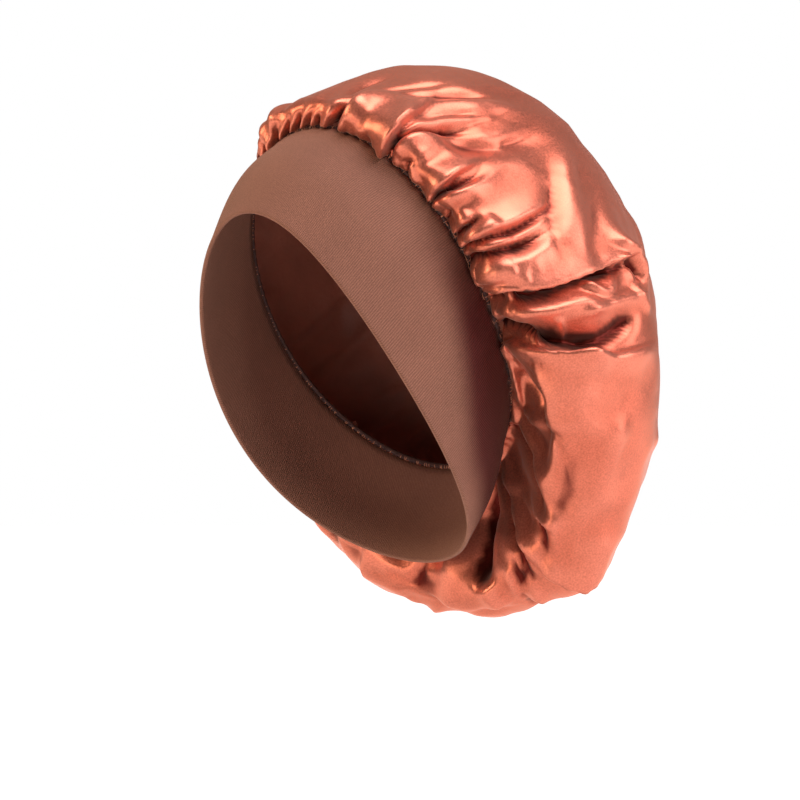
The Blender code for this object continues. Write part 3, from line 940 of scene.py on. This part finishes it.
def keepOffBand(grid):
    # moves satin that would press through the knit back outside it
    turn, along = np.meshgrid(np.arange(360) * 1.0, np.linspace(0.0, 1.0, 60))
    skin = clothPoint(bandSections, turn, along).reshape(-1, 3)
    outward = clothNormal(bandSections, turn, along).reshape(-1, 3)
    tree = kdtree.KDTree(len(skin))
    for i, point in enumerate(skin):
        tree.insert(point, i)
    tree.balance()
    flat = grid.reshape(-1, 3).copy()
    room = band["wall"] / 2 + bag["clearOfBand"]
    for i in np.flatnonzero(np.repeat(np.arange(grid.shape[0]), grid.shape[1]) < bag["rowsByBand"]):
        place, nearest, distance = tree.find(flat[i])
        if distance > bag["nearBand"]:
            continue
        above = (flat[i] - skin[nearest]) @ outward[nearest]
        if above < room and nearest // 360 < 59:
            flat[i] += (room - above) * outward[nearest]
    return flat.reshape(grid.shape)


def buckled(full, along, tip):
    # adds the settled cloth's small buckles and leaves its broad movement out
    step = settle["step"]
    coarse = full[::step, ::step]
    moved = settleCloth(coarse, tip) - coarse
    moved -= eased(moved, settle["broadPasses"])
    atSeam, calmTo = settle["calm"]
    moved *= settle["share"] * (atSeam + (1 - atSeam) * smoothStep(along[::step, :1, None] / calmTo))
    change = upsampled(moved, step)
    full[:len(change)] += change
    full[len(change):] += change[-1:]
    return full


# the satin is painted darker in its hollows as painted shade, and lighter on its bulges as a painted
# highlight
hollows = {
    "passes": (50, 350),                    # the cloth close round a point, and further round
    "depths": (1.5 * mm, 7.0 * mm),         # how far below them counts as deep, for the painted shade
    "shallow": 0.95,                        # what isn't given painted shade yet
    "gain": 1.15,
}


def hollowness(height):
    # below the cloth round it is above 0 and gets painted shade, bulging out is below 0 and gets a painted
    # highlight
    nearPasses, widePasses = hollows["passes"]
    nearDepth, wideDepth = hollows["depths"]
    near = eased(height, nearPasses)
    wide = eased(near, widePasses)
    hollow = (near - height) / nearDepth + (wide - height) / wideDepth
    paintedFoldShade = np.maximum(hollow - hollows["shallow"], 0.0) * hollows["gain"]
    return np.clip(np.where(hollow > 0, paintedFoldShade, hollow), -1.0, 1.0)


def makeBag():
    columns, rows = bag["columns"], bag["rows"]
    turn = np.arange(columns) * 360.0 / columns
    middle, shift = bag["closer"]
    turn = np.tile(turn - shift * np.sin(np.radians(turn - middle)), (rows, 1))
    seat = seamShare(bagSections, turn[0], 0.0, bag["seat"])
    share = (np.arange(rows) / rows) ** bag["crowding"]
    along = seat + (1.0 - seat) * share[:, None]
    base = clothPoint(bagSections, turn, along)
    outward = clothNormal(bagSections, turn, along)
    guessFrom, guessTo, softEnd = bag["guessed"]
    hidden = smoothStep((turn - guessFrom) / softEnd) * smoothStep((guessTo - turn) / softEnd)
    lift = gatherLift(turn, along, hidden)
    lift += bag["slack"] * wander(base, 0.045, 1) * smoothStep(along / 0.10)
    lift += streaks(turn, along)
    folds = list(leftFolds) + list(backFolds) + drawPleats(hiddenPleats)
    offsets = foldOffsets(bagSections, base, outward, along, folds)
    crimpHeight, crimpEnd, *crimpWaves = bag["crimp"]
    crimp = crimpHeight * unevenWaves(turn, *crimpWaves)
    lift += crimp * smoothStep((crimpEnd - along) / crimpEnd) * smoothStep(along / 0.01)
    tip = clothPoint(bagSections, np.zeros(1), np.ones(1))[0].tolist()
    beforeShare, afterShare = bag["foldShares"]
    full = base + eased(beforeShare * offsets + lift[..., None] * outward, 1)
    full = buckled(full, along, tip) + afterShare * offsets
    full[1:-1] += bag["smoothing"] * (eased(full, 1)[1:-1] - full[1:-1])
    full = keepOffBand(full)
    mesh = ringMesh("satin_bag", full, tip)
    # the fold depth drives the satin's painted shade in hollows and painted highlight on bulges
    paintRings(mesh, "depth", hollowness(np.sum((full - base) * outward, axis=-1)))
    layCloth(mesh, columns, rows, *bag["flat"])
    piece = addPiece("satin_bag", mesh, [satin, satinBack])
    wall = piece.modifiers.new("wall", "SOLIDIFY")
    wall.thickness = bag["wall"]
    wall.offset = 0.0
    wall.material_offset = 1
    return piece


satinBag = makeBag()
print("bag shaped")


# The overlocked seam

seam = {
    "radius": 1.4 * mm,
    "columns": 360,
    "rollSides": 10,
    "uneven": (0.12, 130),                  # share of the radius, times round the opening
    "stitches": 260,
    "thread": 0.22 * mm,
    "sides": 5,
    "stitchClear": 1.12,                    # of the roll's radius
    "stitchSway": 0.2,                      # of the room for one stitch
    "stitchSlip": (0.7, 1.1),               # millimetres round the opening
    "stitchSwing": (-75, 185),              # degrees over the roll: start and how far on
    "darkStitches": 0.6,                    # share
    "looseLoops": 70,
    "loopTurns": (60.0, 110.0),             # a third of the loops lie here
    "loopTall": (1.0, 2.6),                 # millimetres
    "loopSlip": (0.8, 2.4),
    "loopLean": (-0.6, 0.9),                # towards the band or the bag
    "loopThread": 0.7,                      # of the thread's radius
    "darkLoops": 0.5,
}


def tube(shape, points, radius, sides, slot):
    # a round thread through the points, with closed ends
    points = [Vector(point) for point in points]
    rings = []
    side = None
    for i, point in enumerate(points):
        ahead = (points[min(i + 1, len(points) - 1)] - points[max(i - 1, 0)]).normalized()
        side = ahead.orthogonal() if side is None else side - ahead * side.dot(ahead)
        side.normalize()
        other = ahead.cross(side)
        ring = []
        for k in range(sides):
            angle = 2 * math.pi * k / sides
            ring.append(shape.verts.new(point + radius * (math.cos(angle) * side + math.sin(angle) * other)))
        rings.append(ring)
    for ring, following in zip(rings, rings[1:]):
        for k in range(sides):
            j = (k + 1) % sides
            face = shape.faces.new((ring[k], ring[j], following[j], following[k]))
            face.material_index = slot
            face.smooth = True
    for cap in (tuple(reversed(rings[0])), tuple(rings[-1])):
        shape.faces.new(cap).material_index = slot


def seamFrame(turn):
    # a point of the seam ring with its directions round the ring, into the bag and out of the cloth
    turn = np.atleast_1d(np.asarray(turn, float))
    zero = np.zeros_like(turn)
    point = clothPoint(bagSections, turn, zero)
    around = unit(clothPoint(bagSections, turn + 1, zero) - clothPoint(bagSections, turn - 1, zero))
    onward = clothPoint(bagSections, turn, zero + 0.01) - point
    onward = unit(onward - np.sum(onward * around, axis=-1, keepdims=True) * around)
    return point, around, onward, np.cross(around, onward)


def makeSeam():
    columns = seam["columns"]
    turn = np.arange(columns) * 360.0 / columns
    point, around, onward, outward = seamFrame(turn)
    share, times = seam["uneven"]
    radius = (seam["radius"] * (1.0 + share * np.cos(np.radians(times * turn))))[:, None]
    rings = []
    for k in range(seam["rollSides"]):
        angle = 2 * math.pi * k / seam["rollSides"]
        rings.append(point + radius * (math.cos(angle) * outward - math.sin(angle) * onward))
    mesh = ringMesh("seam_roll", np.array(rings), closed=True)
    return addPiece("seam_roll", mesh, [darkThread])


def crossStitches(shape, draw):
    count = seam["stitches"]
    reach = seam["radius"] * seam["stitchClear"] + seam["thread"]
    sway = seam["stitchSway"]
    swingFrom, swingBy = seam["stitchSwing"]
    for i in range(count):
        turn = 360.0 * (i + draw.uniform(-sway, sway)) / count
        (point,), (around,), (onward,), (outward,) = seamFrame(turn)
        slip = draw.uniform(*seam["stitchSlip"]) * mm
        for sign in (-1, 1):
            path = []
            for k in range(8):
                swing = math.radians(swingFrom + swingBy * k / 7)
                over = reach * (math.cos(swing) * outward + math.sin(swing) * onward)
                path.append(point + over + around * sign * slip * (k / 7 - 0.5))
            slot = 0 if draw.uniform() < seam["darkStitches"] else 1
            tube(shape, path, seam["thread"], seam["sides"], slot)


def looseLoops(shape, draw):
    for i in range(seam["looseLoops"]):
        turn = draw.uniform(0.0, 360.0) if i % 3 else draw.uniform(*seam["loopTurns"])
        (point,), (around,), (onward,), (outward,) = seamFrame(turn)
        tall = draw.uniform(*seam["loopTall"]) * mm
        slip = draw.uniform(*seam["loopSlip"]) * mm
        lean = draw.uniform(*seam["loopLean"])
        away = (outward + lean * onward) / math.hypot(1.0, lean)
        path = []
        for k in range(9):
            swing = math.pi * k / 8
            up = away * (seam["radius"] + tall * math.sin(swing))
            path.append(point + up - around * slip * math.cos(swing))
        slot = 0 if draw.uniform() < seam["darkLoops"] else 1
        tube(shape, path, seam["loopThread"] * seam["thread"], seam["sides"], slot)


def makeStitches():
    draw = np.random.default_rng(11)
    shape = bmesh.new()
    crossStitches(shape, draw)
    looseLoops(shape, draw)
    mesh = bpy.data.meshes.new("seam_stitches")
    shape.to_mesh(mesh)
    shape.free()
    return addPiece("seam_stitches", mesh, [darkThread, copperThread])


seamRoll = makeSeam()
seamStitches = makeStitches()
print("seam sewn")

slots = ((satinBag, "satin"), (knitBand, "knit"), (seamRoll, "thread"), (seamStitches, "thread"))
for piece, slotName in slots:
    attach(piece, "root")
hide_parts("crown_bag")
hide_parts("band")
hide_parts("overlock_seam")


# Stage, lights and camera

studio = {
    "floor": -0.42,
    "view": 37.0,                           # degrees from the brow towards the wearer's left
    "distance": 1.615,
    "aim": (0.02465, -0.03595),             # right and up of the head's centre
    "lens": 141.5,
    "world": 0.11,
    # name, azimuth, elevation, distance, size, power, colour
    "lights": (
        ("left", -38, 26, 2.0, 1.2, 31.0, (1.0, 0.86, 0.66)),
        ("low", 8, -6, 2.4, 0.9, 11.0, (1.0, 0.84, 0.62)),
        ("right", 124, 16, 2.4, 1.4, 26.0, (1.0, 0.91, 0.97)),
        ("top", 104, 64, 2.2, 1.9, 72.0, (1.0, 0.93, 0.98)),
    ),
}


def makeStage():
    mesh = bpy.data.meshes.new("floor")
    shape = bmesh.new()
    bmesh.ops.create_circle(shape, cap_ends=True, radius=8.0, segments=64)
    shape.to_mesh(mesh)
    shape.free()
    material, tree, shader = startMaterial("pale_floor")
    shader.inputs["Base Color"].default_value = (0.9, 0.9, 0.9, 1.0)
    shader.inputs["Roughness"].default_value = 0.9
    shader.inputs["Emission Color"].default_value = (1.0, 1.0, 1.0, 1.0)
    middle = addNode(tree, "ShaderNodeVectorMath", operation="LENGTH")
    tree.links.new(addNode(tree, "ShaderNodeTexCoord").outputs["Object"], middle.inputs[0])
    glow = reshape(tree, middle.outputs["Value"], 0.7, 1.4, 0.2, 1.0)
    tree.links.new(glow, shader.inputs["Emission Strength"])
    floor = addPiece("floor", mesh, [material])
    floor.location.z = studio["floor"]


def faceInward(name, data, place, back):
    # puts a light or the camera at a place, turned away from the direction behind it
    item = bpy.data.objects.new(name, data)
    item.location = place
    item.rotation_mode = "QUATERNION"
    item.rotation_quaternion = back.to_track_quat("Z", "Y")
    bpy.context.scene.collection.objects.link(item)
    return item


def addLight(name, azimuth, elevation, distance, size, power, colour):
    data = bpy.data.lights.new(name, "AREA")
    data.shape = "DISK"
    data.size = size
    data.energy = power
    data.color = colour
    a, e = math.radians(azimuth), math.radians(elevation)
    back = Vector((math.sin(a) * math.cos(e), -math.cos(a) * math.cos(e), math.sin(e)))
    faceInward(name, data, back * distance, back)


def makeCamera():
    a = math.radians(studio["view"])
    back = Vector((math.sin(a), -math.cos(a), 0.0))
    right = Vector((math.cos(a), math.sin(a), 0.0))
    data = bpy.data.cameras.new("camera")
    data.sensor_width = 36.0
    data.lens = studio["lens"]
    data.clip_end = 100.0
    aimRight, aimUp = studio["aim"]
    place = right * aimRight + Vector((0, 0, aimUp)) + back * studio["distance"]
    bpy.context.scene.camera = faceInward("camera", data, place, back)


def makeWorld():
    world = bpy.data.worlds.new("studio")
    world.use_nodes = True
    tree = world.node_tree
    background = tree.nodes["Background"]
    background.inputs["Color"].default_value = (1.0, 1.0, 1.0, 1.0)
    background.inputs["Strength"].default_value = studio["world"]
    plain = tree.nodes.new("ShaderNodeBackground")
    plain.inputs["Strength"].default_value = 1.0
    plain.inputs["Color"].default_value = (1.0, 1.0, 1.0, 1.0)
    rays = tree.nodes.new("ShaderNodeLightPath")
    mix = tree.nodes.new("ShaderNodeMixShader")
    tree.links.new(rays.outputs["Is Camera Ray"], mix.inputs[0])
    tree.links.new(background.outputs[0], mix.inputs[1])
    tree.links.new(plain.outputs[0], mix.inputs[2])
    tree.links.new(mix.outputs[0], tree.nodes["World Output"].inputs[0])
    bpy.context.scene.world = world


makeStage()
makeWorld()
makeCamera()
for light in studio["lights"]:
    addLight(*light)
bpy.context.scene.view_settings.view_transform = "Standard"
print("studio ready")
